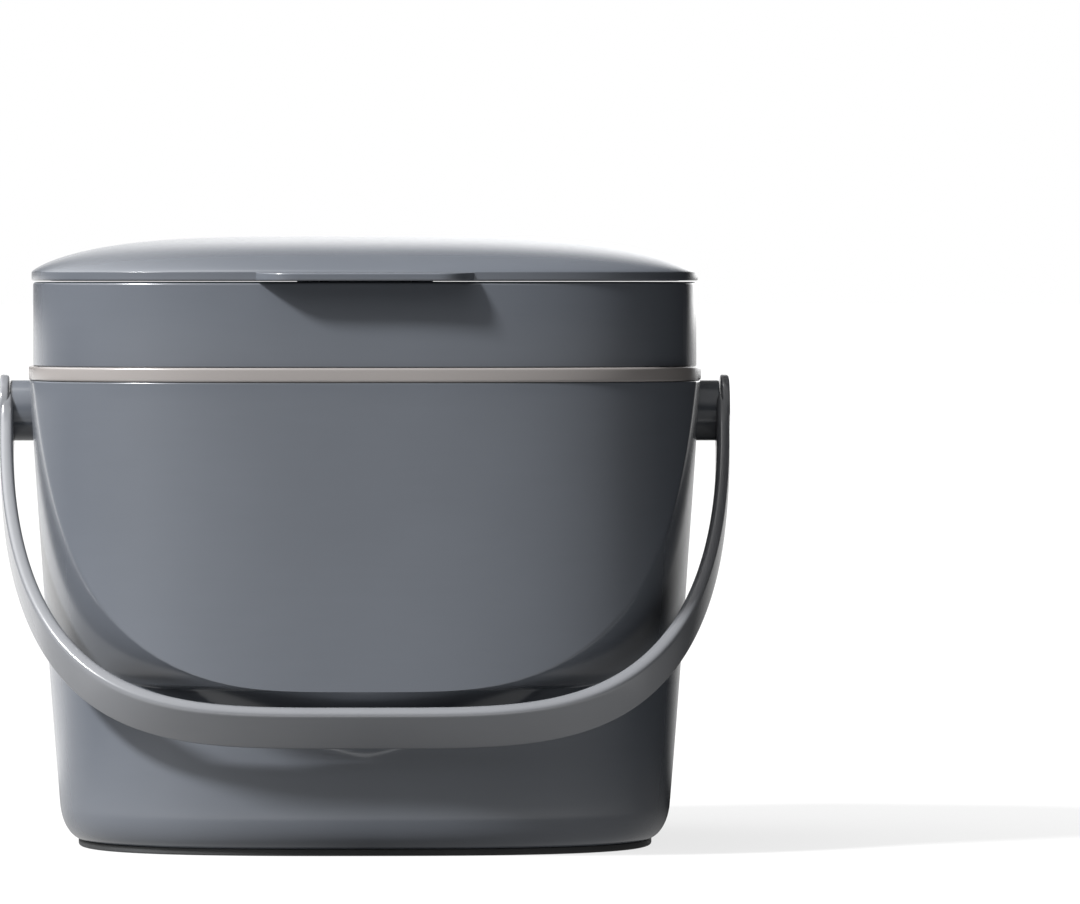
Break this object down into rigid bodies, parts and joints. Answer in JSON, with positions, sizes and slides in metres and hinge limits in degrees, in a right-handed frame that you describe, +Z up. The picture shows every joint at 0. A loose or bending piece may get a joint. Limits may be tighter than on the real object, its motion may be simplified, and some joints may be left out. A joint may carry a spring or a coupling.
{
  "type": "compost caddy",
  "caption": "Countertop compost caddy: a tapered bucket with a swinging bail handle, a lift-out bag ring, and a domed hinged lid on a collar that lifts off.",
  "frame": {"origin": "middle of the underside of the base pad, on the surface that the caddy stands on", "axes": "+X to the right along the axis that the handle turns on, -Y to the front where the lid's lip is, +Z up"},
  "size_m": [0.1968, 0.1808, 0.1635],
  "materials": {
    "charcoal_plastic": "smooth gloss moulding",
    "taupe_plastic": "smooth gloss moulding",
    "pad_rubber": "matt non-slip rubber",
    "seal_rubber": "soft matt seal",
    "hinge_steel": "drawn steel pin"
  },
  "bodies": {
    "bucket_body": {"bucket": "charcoal_plastic", "base_pad": "pad_rubber"},
    "handle_body": {"handle": "charcoal_plastic"},
    "ring_body": {"bag_ring": "taupe_plastic"},
    "collar_body": {"lid_collar": "charcoal_plastic", "hinge_pin": "hinge_steel"},
    "lid_body": {"lid": "charcoal_plastic", "lid_seal": "seal_rubber"}
  },
  "joints": [
    {"name": "handle_swing", "type": "hinge", "parent": "bucket_body", "child": "handle_body", "pos_m": [0, 0, 0.1165], "axis": [1, 0, 0], "range_deg": [-271.4, 0]},
    {"name": "ring_lift", "type": "slide", "parent": "bucket_body", "child": "ring_body", "axis": [0, 0, 1], "range_m": [0, 0.025]},
    {"name": "collar_lift", "type": "slide", "parent": "ring_body", "child": "collar_body", "axis": [0, 0, 1], "range_m": [0, 0.038]},
    {"name": "lid_flip", "type": "hinge", "parent": "collar_body", "child": "lid_body", "pos_m": [0, 0.0873, 0.1514], "axis": [1, 0, 0], "range_deg": [-100, 0]}
  ]
}
